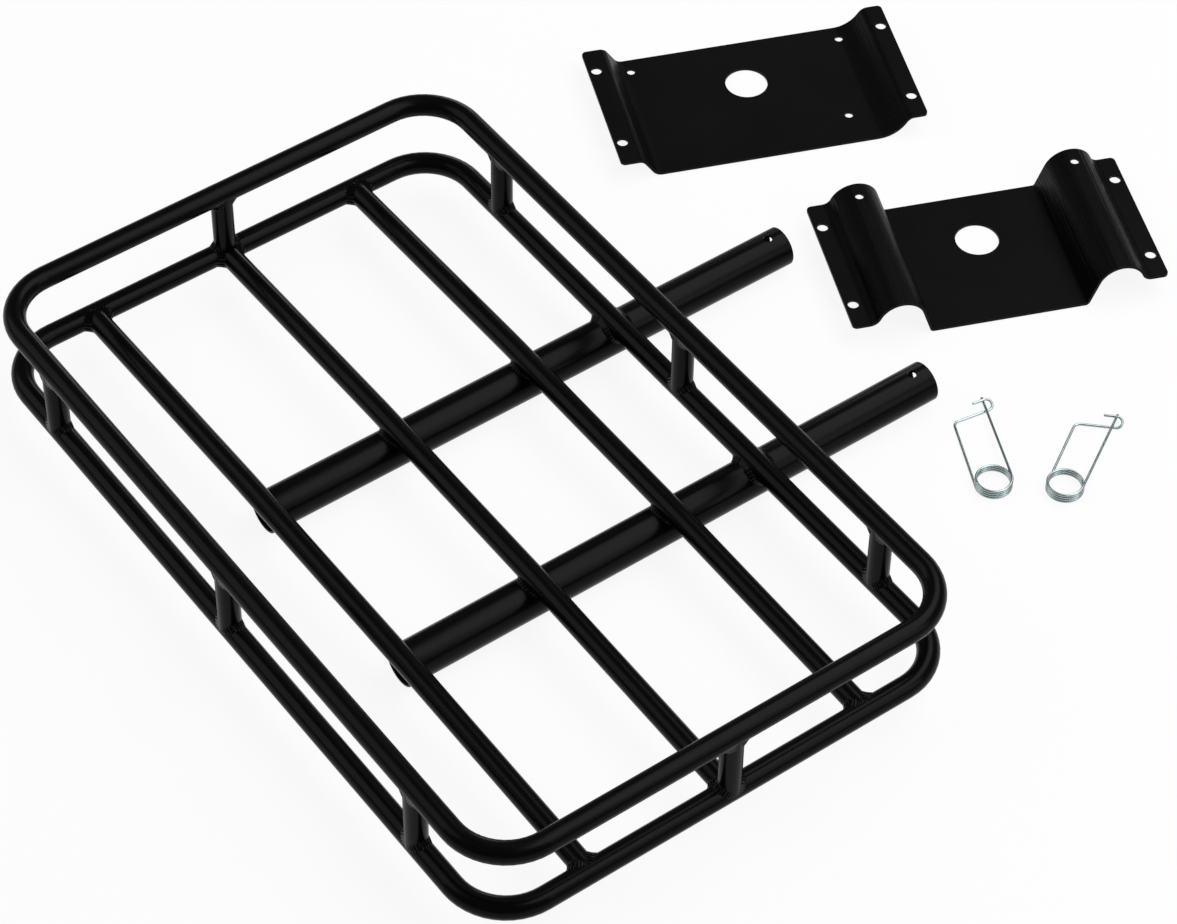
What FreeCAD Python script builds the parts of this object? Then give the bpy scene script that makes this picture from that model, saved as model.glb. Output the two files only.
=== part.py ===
"""Welded hitch cargo rack with its two clamp plates and two spring clips, laid out as a kit.

X runs along the basket, Y along the slide tubes towards their free ends, Z is up, and Z = 0 is the
ground that the slide tubes, the plates and the clips lie on.  Lengths are in millimetres.
"""
import FreeCAD, Part
import math
import os
import Sketcher
from FreeCAD import Placement, Rotation, Vector

# Driving dimensions: alias, value, meaning
SIZES = (
    ("basket_length", 854, "over the rails, along X"),
    ("basket_width", 541, "over the rails, along Y"),
    ("rail_spacing", 80.5, "lower rail to upper rail, centre to centre"),
    ("rail_diameter", 22.2, "outside of the rail, floor bar and post tube"),
    ("rail_wall", 1.5, "wall of that tube"),
    ("corner_radius", 57.5, "bend of the rails, on the centre line"),
    ("post_pitch", 303, "between the posts of a long side"),
    ("weld_root", 0.1, "gap between a coped tube and the tube it is fitted to"),
    ("floor_bar_pitch", 154.5, "between the floor bars"),
    ("floor_bar_rise", 7, "how far a floor bar climbs to pass over the slide tubes"),
    ("floor_bar_ledge", 26, "from a slide tube's centre out to the bend of a floor bar"),
    ("floor_bar_bend", 150, "bend of a floor bar, on the centre line"),
    ("floor_bar_seat", 4, "how deep a floor bar sinks into a slide tube"),
    ("slide_spacing", 230, "between the slide tubes"),
    ("slide_diameter", 41.3, "outside of a slide tube"),
    ("slide_wall", 2, "wall of a slide tube"),
    ("slide_reach", 213, "free end of a slide tube beyond the rail's centre line"),
    ("slide_setback", 4, "closed-in end of a slide tube short of the outer floor bar's centre line"),
    ("pin_diameter", 9, "holes for the spring clips"),
    ("pin_setback", 18, "from those holes to the free end of the tube and the edge of the plate"),
    ("plate_length", 331, "clamp plates, over their flanges"),
    ("plate_width", 175, "clamp plates, along the slide tubes"),
    ("plate_thickness", 3, "sheet of the clamp plates"),
    ("plate_corner", 5, "corner rounding of the clamp plates in plan"),
    ("flange_rise", 22, "underside of the flanges above the underside of the flat"),
    ("flange_hole_diameter", 11.5, "clamp bolt holes"),
    ("flange_hole_edge", 9, "clamp bolt holes from the outer edge of the flange"),
    ("flange_hole_pitch", 112, "between the clamp bolt holes of a flange"),
    ("ball_hole_diameter", 45, "clearance round the foot of the hitch ball"),
    ("ball_hole_offset", 25, "that hole from the middle of the plate"),
    ("sleeve_clearance", 3, "room round a slide tube under an arch"),
    ("arch_wall_angle", 71, "slope of the inner wall of an arch, in degrees"),
    ("arch_foot_bend", 5, "bend at the foot of that wall, on the underside"),
    ("arch_flange_bend", 12, "bend from an arch into the flange, on the underside"),
    ("step_angle", 56, "slope of the lower plate's steps, in degrees"),
    ("step_top_bend", 8, "bend from a step into the flange, on the underside"),
    ("step_foot_bend_left", 13, "bend from the flat into the left step, on the underside"),
    ("step_foot_bend_right", 34, "bend from the flat into the right step, on the underside"),
    ("step_flange_left", 19, "flat part of the lower plate's left flange"),
    ("step_flange_right", 15, "flat part of the lower plate's right flange"),
    ("tie_hole_inset", 23, "single small hole, from the line of the right pin hole"),
    ("tie_hole_edge", 40, "single small hole, from the front edge of the lower plate"),
    ("wire_diameter", 2.7, "wire of the spring clips"),
    ("coil_diameter", 37.7, "outside of a clip's coil"),
    ("coil_gap", 0.15, "between the turns of the coil"),
    ("clip_leg", 85.3, "clip, from the coil's centre to the corner of the hooked leg"),
    ("clip_corner", 7, "bend of that corner"),
    ("clip_lean", 15, "lean of the clip's cross wire, in degrees"),
    ("clip_overhang", 3.5, "cross wire beyond the straight leg, to the start of the hook"),
    ("hook_width", 10, "hook of a clip, seen from above"),
    ("hook_tail", 13, "straight end of the hook"),
    ("clip_nose", 111, "straight leg of a clip, from the coil's centre to its end"),
    ("clip_nose_bend", 25, "bend of that leg out of the coil's top turn"),
    ("rack_x", 17.41, "centre of the basket from the origin"),
    ("rack_y", -279.16, "centre of the basket from the origin"),
    ("lower_plate_x", -320, "centre of the lower plate from the centre of the basket"),
    ("lower_plate_y", 595, "centre of the lower plate from the centre of the basket"),
    ("upper_plate_x", 3, "centre of the upper plate from the centre of the basket"),
    ("upper_plate_y", 644, "centre of the upper plate from the centre of the basket"),
    ("left_clip_x", 247, "coil of the left clip from the centre of the basket"),
    ("left_clip_y", 452, "coil of the left clip from the centre of the basket"),
    ("right_clip_x", 291, "coil of the right clip from the centre of the basket"),
    ("right_clip_y", 505, "coil of the right clip from the centre of the basket"),
    ("lower_plate_yaw", 67.9, "turn of the lower plate, in degrees"),
    ("upper_plate_yaw", 67.6, "turn of the upper plate, in degrees"),
    ("left_clip_yaw", 155, "turn of the left clip, in degrees"),
    ("right_clip_yaw", 121, "turn of the right clip, in degrees"),
)

COIL_TURNS = 3.5
COIL_CHORDS = 9
WIRE_SIDES = 8
FLOOR_BARS = (("floor_bar_outer", -1), ("floor_bar_middle", 0), ("floor_bar_inner", 1))

# Lengths that several pieces share, as expressions on the sheet
HALF_LENGTH = "(sizes.basket_length - sizes.rail_diameter) / 2"
HALF_WIDTH = "(sizes.basket_width - sizes.rail_diameter) / 2"
COPE_DIAMETER = "sizes.rail_diameter + 2 * sizes.weld_root"
SLIDE_RADIUS = "sizes.slide_diameter / 2"
BAR_OVER_SLIDE = "(sizes.rail_diameter + sizes.slide_diameter) / 2 - sizes.floor_bar_seat"
LOWER_RAIL_HEIGHT = SLIDE_RADIUS + " + " + BAR_OVER_SLIDE + " - sizes.floor_bar_rise"
SLIDE_START = "sizes.floor_bar_pitch - sizes.slide_setback"
BAR_RUN = "(" + HALF_LENGTH + " - sizes.slide_spacing / 2 - sizes.floor_bar_ledge)"
BAR_SLOPE = "atan(sizes.floor_bar_rise / " + BAR_RUN + ")"
BAR_TANGENT = "sizes.floor_bar_bend * tan(" + BAR_SLOPE + " / 2)"
BAR_LEVEL = "sizes.slide_spacing / 2 + sizes.floor_bar_ledge - " + BAR_TANGENT
BAR_SLANT = BAR_RUN + " / cos(" + BAR_SLOPE + ") - " + BAR_TANGENT
SLIDE_LENGTH = HALF_WIDTH + " + sizes.slide_reach + " + SLIDE_START

doc = FreeCAD.newDocument("hitch_cargo_rack")
sizes = doc.addObject("Spreadsheet::Sheet", "sizes")
for row, (alias, value, meaning) in enumerate(SIZES, start=1):
    sizes.set("A%d" % row, alias)
    sizes.set("B%d" % row, str(value))
    sizes.set("C%d" % row, meaning)
    sizes.setAlias("B%d" % row, alias)
doc.recompute()


def origin_plane(body, role):
    return next(feature for feature in body.Origin.OriginFeatures if feature.Role == role)


def body_sketch(body, name, role, shift=None, tilt=None):
    """A sketch on one of the body's own origin planes, moved and tilted about its X by expressions."""
    sketch = body.newObject("Sketcher::SketchObject", name)
    sketch.AttachmentSupport = (origin_plane(body, role), [""])
    sketch.MapMode = "FlatFace"
    for axis, expression in (shift or {}).items():
        sketch.setExpression("AttachmentOffset.Base." + axis, expression)
    if tilt:
        sketch.AttachmentOffset = Placement(Vector(0, 0, 0), Rotation(Vector(1, 0, 0), 1))
        sketch.setExpression("AttachmentOffset.Rotation.Angle", tilt)
    return sketch


def constrain(sketch, name, expression, *constraint):
    """A named dimension that follows the sheet; its first value comes from the geometry."""
    index = sketch.addConstraint(Sketcher.Constraint(*constraint))
    sketch.renameConstraint(index, name)
    sketch.setExpression("Constraints." + name, expression)


def add_circle(sketch, name, diameter, across, up):
    """A circle whose diameter and centre follow the sheet."""
    circle = sketch.addGeometry(Part.Circle(Vector(0, 0, 0), Vector(0, 0, 1), 5))
    constrain(sketch, name + "_diameter", diameter, "Diameter", circle, 10)
    constrain(sketch, name + "_across", across, "DistanceX", -1, 1, circle, 3, 1)
    constrain(sketch, name + "_up", up, "DistanceY", -1, 1, circle, 3, 1)
    return circle


def place(obj, across, along, height, yaw=None):
    """Put a piece where it lies, from the centre of the basket on the ground."""
    obj.setExpression("Placement.Base.x", "sizes.rack_x + " + across)
    obj.setExpression("Placement.Base.y", "sizes.rack_y + " + along)
    obj.setExpression("Placement.Base.z", height)
    if yaw:
        obj.setExpression("Placement.Rotation.Angle", yaw)


def add_body(name):
    body = doc.addObject("PartDesign::Body", name)
    body.Label = name
    return body


def pocket_through(body, name, sketch):
    pocket = body.newObject("PartDesign::Pocket", name)
    pocket.Profile = sketch
    pocket.Midplane = True
    pocket.Type = "ThroughAll"
    body.Tip = pocket
    return pocket


def add_tube(body, sketch, length, midplane=False, backwards=False):
    """A ring drawn out into a straight tube."""
    pad = body.newObject("PartDesign::Pad", sketch.Name + "_tube")
    pad.Profile = sketch
    pad.Midplane = midplane
    pad.Reversed = backwards
    pad.setExpression("Length", length)
    body.Tip = pad
    return pad


def add_bend(body, sketch, axis, angle):
    """A ring turned about an axis of its sketch into a bent tube."""
    bend = body.newObject("PartDesign::Revolution", sketch.Name + "_bend")
    bend.Profile = sketch
    bend.ReferenceAxis = (sketch, [axis])
    bend.setExpression("Angle", angle)
    body.Tip = bend
    return bend


def ring_sketch(body, name, role, across, up, shift=None, tilt=None):
    """Section of the rail tube."""
    sketch = body_sketch(body, name, role, shift, tilt)
    add_circle(sketch, "outside", "sizes.rail_diameter", across, up)
    add_circle(sketch, "bore", "sizes.rail_diameter - 2 * sizes.rail_wall", across, up)
    doc.recompute()
    return sketch


def add_mirrors(body, features, roles):
    """The features repeated across one or two of the body's origin planes."""
    doc.recompute()
    transform = body.newObject("PartDesign::MultiTransform", body.Name + "_mirrored")
    mirrors = []
    for role in roles:
        mirror = body.newObject("PartDesign::Mirrored", body.Name + "_over_" + role)
        mirror.MirrorPlane = (origin_plane(body, role), [""])
        mirrors.append(mirror)
    transform.Originals = features
    transform.Transformations = mirrors
    body.Tip = transform
    doc.recompute()


def add_rail(name, height):
    """One of the two round-cornered loops: a quarter of it, mirrored both ways."""
    body = add_body(name)
    long_ring = ring_sketch(body, name + "_long_side", "YZ_Plane", "-(" + HALF_WIDTH + ")", "0")
    long_side = add_tube(body, long_ring, HALF_LENGTH + " - sizes.corner_radius")
    doc.recompute()
    corner = {
        "x": "sizes.corner_radius - " + HALF_WIDTH,
        "z": HALF_LENGTH + " - sizes.corner_radius",
    }
    bend_ring = ring_sketch(body, name + "_corner", "YZ_Plane", "-sizes.corner_radius", "0", corner)
    bend = add_bend(body, bend_ring, "V_Axis", "90")
    doc.recompute()
    short_ring = ring_sketch(body, name + "_short_side", "XZ_Plane", HALF_LENGTH, "0")
    short_side = add_tube(body, short_ring, HALF_WIDTH + " - sizes.corner_radius")
    add_mirrors(body, [long_side, bend, short_side], ("YZ_Plane", "XZ_Plane"))
    place(body, "0", "0", height)
    return body


def add_floor_bar(name, side):
    """A floor bar: level over the slide tubes, bent down to both ends and fish-mouthed round the rail."""
    body = add_body(name)
    level_ring = ring_sketch(body, name + "_level", "YZ_Plane", "0", "sizes.floor_bar_rise")
    add_tube(body, level_ring, "2 * (" + BAR_LEVEL + ")", midplane=True)
    doc.recompute()
    start = {"y": "sizes.floor_bar_rise - sizes.floor_bar_bend", "z": BAR_LEVEL}
    bend_ring = ring_sketch(body, name + "_shoulder", "YZ_Plane", "0", "sizes.floor_bar_bend", start)
    bend = add_bend(body, bend_ring, "H_Axis", BAR_SLOPE)
    doc.recompute()
    end = {"z": HALF_LENGTH}
    slant_ring = ring_sketch(body, name + "_slant", "YZ_Plane", "0", "0", end, BAR_SLOPE)
    slant = add_tube(body, slant_ring, BAR_SLANT, backwards=True)
    add_mirrors(body, [bend, slant], ("YZ_Plane",))
    cope = body_sketch(body, name + "_cope", "XZ_Plane")
    add_circle(cope, "left", COPE_DIAMETER, "-(" + HALF_LENGTH + ")", "0")
    add_circle(cope, "right", COPE_DIAMETER, HALF_LENGTH, "0")
    pocket_through(body, name + "_fish_mouths", cope)
    if side == 0:
        # The end posts stand where this bar meets the rail, so its top is cut round them
        notch = body_sketch(body, name + "_notch", "XY_Plane")
        add_circle(notch, "left", COPE_DIAMETER, "-(" + HALF_LENGTH + ")", "0")
        add_circle(notch, "right", COPE_DIAMETER, HALF_LENGTH, "0")
        notches = pocket_through(body, name + "_post_notches", notch)
        notches.Midplane = False
        notches.Reversed = True
    place(body, "0", "%d * sizes.floor_bar_pitch" % side, LOWER_RAIL_HEIGHT)
    return body


def add_post(name, across, along, turned):
    """A post between the rails, fish-mouthed round both."""
    body = add_body(name)
    ring = ring_sketch(body, name + "_ring", "XY_Plane", "0", "0")
    add_tube(body, ring, "sizes.rail_spacing")
    cope = body_sketch(body, name + "_cope", "YZ_Plane")
    add_circle(cope, "foot", COPE_DIAMETER, "0", "0")
    add_circle(cope, "head", COPE_DIAMETER, "0", "sizes.rail_spacing")
    pocket_through(body, name + "_fish_mouths", cope)
    if turned:
        body.Placement = Placement(Vector(0, 0, 0), Rotation(Vector(0, 0, 1), 90))
    place(body, across, along, LOWER_RAIL_HEIGHT)
    return body


def add_slide_tube(name, side):
    """A slide tube, notched where the rail and the floor bars sit in it, and drilled for its pin."""
    body = add_body(name)
    ring = body_sketch(body, name + "_ring", "XZ_Plane")
    add_circle(ring, "outside", "sizes.slide_diameter", "0", "0")
    add_circle(ring, "bore", "sizes.slide_diameter - 2 * sizes.slide_wall", "0", "0")
    add_tube(body, ring, SLIDE_LENGTH, backwards=True)
    notches = body_sketch(body, name + "_notches", "YZ_Plane")
    for bar, station in FLOOR_BARS:
        along = "%s + %d * sizes.floor_bar_pitch" % (SLIDE_START, station)
        add_circle(notches, bar, COPE_DIAMETER, along, BAR_OVER_SLIDE)
    rail_along = HALF_WIDTH + " + " + SLIDE_START
    add_circle(notches, "rail", COPE_DIAMETER, rail_along, BAR_OVER_SLIDE + " - sizes.floor_bar_rise")
    pocket_through(body, name + "_seats", notches)
    pin = body_sketch(body, name + "_pin", "XY_Plane")
    add_circle(pin, "pin", "sizes.pin_diameter", "0", SLIDE_LENGTH + " - sizes.pin_setback")
    pocket_through(body, name + "_pin_holes", pin)
    place(body, "%d * sizes.slide_spacing / 2" % side, "-(" + SLIDE_START + ")", SLIDE_RADIUS)
    return body


def start_fold(name):
    """An upright sketch for the underside of half a plate, from the middle outwards."""
    sketch = doc.addObject("Sketcher::SketchObject", name)
    sketch.Placement = Placement(Vector(0, 0, 0), Rotation(Vector(1, 0, 0), 90))
    return sketch


def arc_between(centre, radius, start, end):
    circle = Part.Circle(Vector(centre[0], centre[1], 0), Vector(0, 0, 1), radius)
    return Part.ArcOfCircle(circle, math.radians(start), math.radians(end))


def line_between(start, end):
    return Part.LineSegment(Vector(start[0], start[1], 0), Vector(end[0], end[1], 0))


def on_circle(centre, radius, degrees):
    angle = math.radians(degrees)
    return centre[0] + radius * math.cos(angle), centre[1] + radius * math.sin(angle)


def arch_fold(name):
    """Flat, inner wall, arch over the slide tube and flange."""
    sketch = start_fold(name)
    wall = sizes.arch_wall_angle
    foot = sizes.arch_foot_bend
    arch = sizes.slide_diameter / 2 + sizes.sleeve_clearance
    crown = (sizes.slide_spacing / 2, sizes.slide_diameter / 2)
    outer = sizes.arch_flange_bend
    wall_top = on_circle(crown, arch, wall + 90)
    # The wall runs down from there until the foot's bend, tangent to the ground, takes over
    drop = wall_top[1] - foot * (1 - math.cos(math.radians(wall)))
    wall_foot = (wall_top[0] - drop / math.tan(math.radians(wall)), wall_top[1] - drop)
    foot_centre = (wall_foot[0] - foot * math.sin(math.radians(wall)), foot)
    lift = sizes.flange_rise + outer - crown[1]
    outer_centre = (crown[0] + math.sqrt((arch + outer) ** 2 - lift ** 2), sizes.flange_rise + outer)
    meet = math.degrees(math.asin(lift / (arch + outer)))
    flange_end = (sizes.plate_length / 2, sizes.flange_rise)
    sketch.addGeometry(line_between((0, 0), (foot_centre[0], 0)))
    sketch.addGeometry(arc_between(foot_centre, foot, -90, wall - 90))
    sketch.addGeometry(line_between(wall_foot, wall_top))
    sketch.addGeometry(arc_between(crown, arch, meet, wall + 90))
    sketch.addGeometry(arc_between(outer_centre, outer, meet + 180, 270))
    sketch.addGeometry(line_between((outer_centre[0], sizes.flange_rise), flange_end))
    for joint in ((0, 2, 1, 1), (1, 2, 2, 1), (2, 2, 3, 2), (3, 1, 4, 1), (4, 2, 5, 1)):
        sketch.addConstraint(Sketcher.Constraint("Tangent", *joint))
    sketch.addConstraint(Sketcher.Constraint("Coincident", 0, 1, -1, 1))
    sketch.addConstraint(Sketcher.Constraint("Horizontal", 0))
    sketch.addConstraint(Sketcher.Constraint("Horizontal", 5))
    constrain(sketch, "foot_bend", "sizes.arch_foot_bend", "Radius", 1, foot)
    constrain(sketch, "arch", SLIDE_RADIUS + " + sizes.sleeve_clearance", "Radius", 3, arch)
    constrain(sketch, "flange_bend", "sizes.arch_flange_bend", "Radius", 4, outer)
    constrain(sketch, "crown_across", "sizes.slide_spacing / 2", "DistanceX", -1, 1, 3, 3, crown[0])
    constrain(sketch, "crown_up", SLIDE_RADIUS, "DistanceY", -1, 1, 3, 3, crown[1])
    constrain(sketch, "wall", "sizes.arch_wall_angle", "Angle", 2, math.radians(wall))
    constrain(sketch, "flange_up", "sizes.flange_rise", "DistanceY", -1, 1, 5, 2, flange_end[1])
    constrain(sketch, "flange_out", "sizes.plate_length / 2", "DistanceX", -1, 1, 5, 2, flange_end[0])
    return sketch


def step_fold(name, side):
    """Flat, step and flange of the lower plate; its two steps are bent to different radii."""
    sketch = start_fold(name)
    slope = math.radians(sizes.step_angle)
    top = sizes.step_top_bend
    foot = getattr(sizes, "step_foot_bend_" + side)
    flange = getattr(sizes, "step_flange_" + side)
    rise = sizes.flange_rise
    flange_end = (sizes.plate_length / 2, rise)
    top_centre = (flange_end[0] - flange, rise - top)
    step_top = on_circle(top_centre, top, 90 + sizes.step_angle)
    drop = step_top[1] - foot * (1 - math.cos(slope))
    step_foot = (step_top[0] - drop / math.tan(slope), step_top[1] - drop)
    foot_centre = (step_foot[0] - foot * math.sin(slope), foot)
    sketch.addGeometry(line_between((0, 0), (foot_centre[0], 0)))
    sketch.addGeometry(arc_between(foot_centre, foot, -90, sizes.step_angle - 90))
    sketch.addGeometry(line_between(step_foot, step_top))
    sketch.addGeometry(arc_between(top_centre, top, 90, 90 + sizes.step_angle))
    sketch.addGeometry(line_between((top_centre[0], rise), flange_end))
    for joint in ((0, 2, 1, 1), (1, 2, 2, 1), (2, 2, 3, 2), (3, 1, 4, 1)):
        sketch.addConstraint(Sketcher.Constraint("Tangent", *joint))
    sketch.addConstraint(Sketcher.Constraint("Coincident", 0, 1, -1, 1))
    sketch.addConstraint(Sketcher.Constraint("Horizontal", 0))
    sketch.addConstraint(Sketcher.Constraint("Horizontal", 4))
    flange_start = "sizes.plate_length / 2 - sizes.step_flange_" + side
    constrain(sketch, "foot_bend", "sizes.step_foot_bend_" + side, "Radius", 1, foot)
    constrain(sketch, "top_bend", "sizes.step_top_bend", "Radius", 3, top)
    constrain(sketch, "slope", "sizes.step_angle", "Angle", 2, slope)
    constrain(sketch, "flange_up", "sizes.flange_rise", "DistanceY", -1, 1, 4, 2, rise)
    constrain(sketch, "flange_out", "sizes.plate_length / 2", "DistanceX", -1, 1, 4, 2, flange_end[0])
    constrain(sketch, "flange_in", flange_start, "DistanceX", -1, 1, 4, 1, top_centre[0])
    return sketch


def half_plate(name, fold, mirrored):
    """The sheet of half a plate: the fold thickened upwards, then drawn out to the plate's width."""
    doc.recompute()
    section = doc.addObject("Part::Offset2D", name + "_section")
    section.Source = fold
    section.Mode = "Skin"
    section.Join = "Arc"
    section.Fill = True
    section.setExpression("Value", "sizes.plate_thickness")
    sheet = doc.addObject("Part::Extrusion", name + "_sheet")
    sheet.Base = section
    sheet.DirMode = "Custom"
    sheet.Dir = Vector(0, 1, 0)
    sheet.Solid = True
    sheet.Symmetric = True
    sheet.setExpression("LengthFwd", "sizes.plate_width")
    if not mirrored:
        return sheet
    mirror = doc.addObject("Part::Mirroring", name + "_mirror")
    mirror.Source = sheet
    mirror.Normal = Vector(1, 0, 0)
    return mirror


def plate_blank(name):
    """Outline of a plate in plan, with round corners, as a tall block that trims the folded sheet."""
    block = doc.addObject("Part::Box", name + "_block")
    block.setExpression("Length", "sizes.plate_length")
    block.setExpression("Width", "sizes.plate_width")
    block.setExpression("Height", "2 * (sizes.slide_diameter + sizes.sleeve_clearance)")
    block.setExpression("Placement.Base.x", "-sizes.plate_length / 2")
    block.setExpression("Placement.Base.y", "-sizes.plate_width / 2")
    block.setExpression("Placement.Base.z", "-sizes.plate_thickness")
    doc.recompute()
    upright = [
        (index, sizes.plate_corner, sizes.plate_corner)
        for index, edge in enumerate(block.Shape.Edges, start=1)
        if abs(edge.tangentAt(edge.FirstParameter).z) > 0.9
    ]
    blank = doc.addObject("Part::Fillet", name + "_blank")
    blank.Base = block
    blank.Edges = upright
    return blank


def plate_drill(name, diameter, across, along):
    """A drill through a plate at full height."""
    drill = doc.addObject("Part::Cylinder", name)
    drill.setExpression("Radius", diameter + " / 2")
    drill.setExpression("Height", "3 * (sizes.slide_diameter + sizes.sleeve_clearance)")
    drill.setExpression("Placement.Base.x", across)
    drill.setExpression("Placement.Base.y", along)
    drill.setExpression("Placement.Base.z", "-sizes.slide_diameter")
    return drill


def add_plate(name, left, right, extra_drills):
    """A clamp plate: two folded halves joined, trimmed to the blank and drilled."""
    blank = plate_blank(name)
    sheet = doc.addObject("Part::MultiFuse", name + "_sheet")
    sheet.Shapes = [left, right]
    sheet.Refine = True
    trimmed = doc.addObject("Part::MultiCommon", name + "_trimmed")
    trimmed.Shapes = [sheet, blank]
    drills = [plate_drill(name + "_ball_drill", "sizes.ball_hole_diameter", "0", "sizes.ball_hole_offset")]
    for across in (-1, 1):
        flange_x = "%d * (sizes.plate_length / 2 - sizes.flange_hole_edge)" % across
        for along in (-1, 1):
            label = "%s_flange_drill_%d" % (name, len(drills))
            flange_y = "%d * sizes.flange_hole_pitch / 2" % along
            drills.append(plate_drill(label, "sizes.flange_hole_diameter", flange_x, flange_y))
        label = "%s_pin_drill_%d" % (name, len(drills))
        pin_x = "%d * sizes.slide_spacing / 2" % across
        drills.append(plate_drill(label, "sizes.pin_diameter", pin_x, "sizes.plate_width / 2 - sizes.pin_setback"))
    tools = doc.addObject("Part::MultiFuse", name + "_drills")
    tools.Shapes = drills + extra_drills
    plate = doc.addObject("Part::Cut", name)
    plate.Base = trimmed
    plate.Tool = tools
    plate.Label = name
    prefix = "sizes." + name.split("_")[0] + "_plate_"
    plate.Placement = Placement(Vector(0, 0, 0), Rotation(Vector(0, 0, 1), 1))
    place(plate, prefix + "x", prefix + "y", "0", prefix + "yaw")
    return plate


def arc_points(start, middle, end, chords):
    """Ends of the chords that an arc is divided into."""
    arc = Part.Arc(start, middle, end).toShape()
    return arc.discretize(chords + 1)


def mitred_wire(path, radius):
    """Eight-sided wire along a path of short chords, mitred where they meet."""
    first = (path[1] - path[0]).normalize()
    side = first.cross(Vector(0, 0, 1)).normalize()
    up = side.cross(first)
    rings = []
    for corner in range(WIRE_SIDES):
        angle = 2 * math.pi * corner / WIRE_SIDES
        rings.append([path[0] + side * (radius * math.cos(angle)) + up * (radius * math.sin(angle))])
    for here, point in enumerate(path[1:], start=1):
        forward = (point - path[here - 1]).normalize()
        onward = (path[here + 1] - point).normalize() if here + 1 < len(path) else forward
        mitre = (forward + onward).normalize()
        for edge in rings:
            reach = (point - edge[-1]).dot(mitre) / forward.dot(mitre)
            edge.append(edge[-1] + forward * reach)
    faces = []
    for corner in range(WIRE_SIDES):
        near = rings[corner]
        far = rings[(corner + 1) % WIRE_SIDES]
        for here in range(len(path) - 1):
            outline = [near[here], far[here], far[here + 1], near[here + 1], near[here]]
            faces.append(Part.Face(Part.makePolygon(outline)))
    for end in (0, -1):
        outline = [edge[end] for edge in rings]
        faces.append(Part.Face(Part.makePolygon(outline + outline[:1])))
    shell = Part.Shell(faces)
    shell.sewShape()
    return Part.Solid(shell)


def clip_solid():
    """A coil with two legs; the hooked leg crosses under the straight one, turns up and holds it."""
    wire = sizes.wire_diameter / 2
    coil = sizes.coil_diameter / 2 - wire
    pitch = sizes.wire_diameter + sizes.coil_gap

    # Hooked leg: along X, round the corner, across, then up and back in a half circle
    lean = math.radians(sizes.clip_lean)
    turn = math.pi / 2 - lean
    cross = Vector(math.sin(lean), -math.cos(lean), 0)
    onward = Vector(math.cos(lean), math.sin(lean), 0)
    leg_start = Vector(0, coil, wire)
    corner = Vector(sizes.clip_leg, coil, wire)
    tangent = sizes.clip_corner * math.tan(turn / 2)
    corner_in = corner - Vector(tangent, 0, 0)
    corner_out = corner + cross * tangent
    corner_centre = corner_in - Vector(0, sizes.clip_corner, 0)
    bisector = corner - corner_centre
    corner_mid = corner_centre + bisector * (sizes.clip_corner / bisector.Length)
    cross_length = (2 * coil + sizes.clip_overhang) / math.cos(lean)
    hook_in = corner + cross * cross_length
    hook_span = onward * sizes.hook_width + Vector(0, 0, 2 * pitch)
    hook_mid = hook_in + hook_span * 0.5 + cross * (hook_span.Length / 2)
    hook_out = hook_in + hook_span

    # Straight leg: from its end through the middle of the hook, then bent level into the top turn
    top = Vector(0, -coil, wire + pitch * COIL_TURNS)
    hold = (hook_in + hook_out) * 0.5
    bend = sizes.clip_nose_bend
    rise = bend - (top.z - hold.z)
    slope = math.asin(bend / math.hypot(hold.x, rise)) - math.atan2(rise, hold.x)
    below = Vector(0, -coil, top.z - bend)
    bend_mid = below + Vector(math.sin(slope / 2), 0, math.cos(slope / 2)) * bend
    bend_end = below + Vector(math.sin(slope), 0, math.cos(slope)) * bend
    downhill = Vector(math.cos(slope), 0, -math.sin(slope))
    nose = bend_end + downhill * ((sizes.clip_nose - bend_end.x) / downhill.x)

    # One wire from the end of the straight leg, down the coil in half turns, to the hook
    path = [nose] + arc_points(bend_end, bend_mid, top, 1)
    height = top.z
    for half in range(int(2 * COIL_TURNS)):
        way = 1 if half % 2 else -1
        start = Vector(0, way * coil, height)
        height -= pitch / 2
        end = Vector(0, -way * coil, height)
        middle = Vector(way * coil, 0, height + pitch / 4)
        path += arc_points(start, middle, end, COIL_CHORDS)[1:]
    path += arc_points(corner_in, corner_mid, corner_out, 4)
    path += arc_points(hook_in, hook_mid, hook_out, 7)
    path.append(hook_out - cross * sizes.hook_tail)
    return mitred_wire(path, wire)


def add_clip(name, shape):
    clip = doc.addObject("Part::Feature", name)
    clip.Label = name
    clip.Shape = shape
    side = name.split("_")[-1]
    clip.Placement = Placement(Vector(0, 0, 0), Rotation(Vector(0, 0, 1), 1))
    prefix = "sizes." + side + "_clip_"
    place(clip, prefix + "x", prefix + "y", "0", prefix + "yaw")
    return clip


pieces = [
    add_rail("lower_rail", LOWER_RAIL_HEIGHT),
    add_rail("upper_rail", LOWER_RAIL_HEIGHT + " + sizes.rail_spacing"),
]
pieces += [add_floor_bar(name, side) for name, side in FLOOR_BARS]
for row, side in (("outer", -1), ("inner", 1)):
    for station, step in (("left", -1), ("middle", 0), ("right", 1)):
        across = "%d * sizes.post_pitch" % step
        along = "%d * (%s)" % (side, HALF_WIDTH)
        pieces.append(add_post("post_%s_%s" % (row, station), across, along, False))
for station, side in (("left", -1), ("right", 1)):
    pieces.append(add_post("post_end_" + station, "%d * (%s)" % (side, HALF_LENGTH), "0", True))
for station, side in (("left", -1), ("right", 1)):
    pieces.append(add_slide_tube("slide_tube_" + station, side))

arch = half_plate("arch", arch_fold("arch_fold"), False)
arch_mirror = doc.addObject("Part::Mirroring", "arch_mirror")
arch_mirror.Source = arch
arch_mirror.Normal = Vector(1, 0, 0)
pieces.append(add_plate("upper_clamp_plate", arch_mirror, arch, []))

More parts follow.
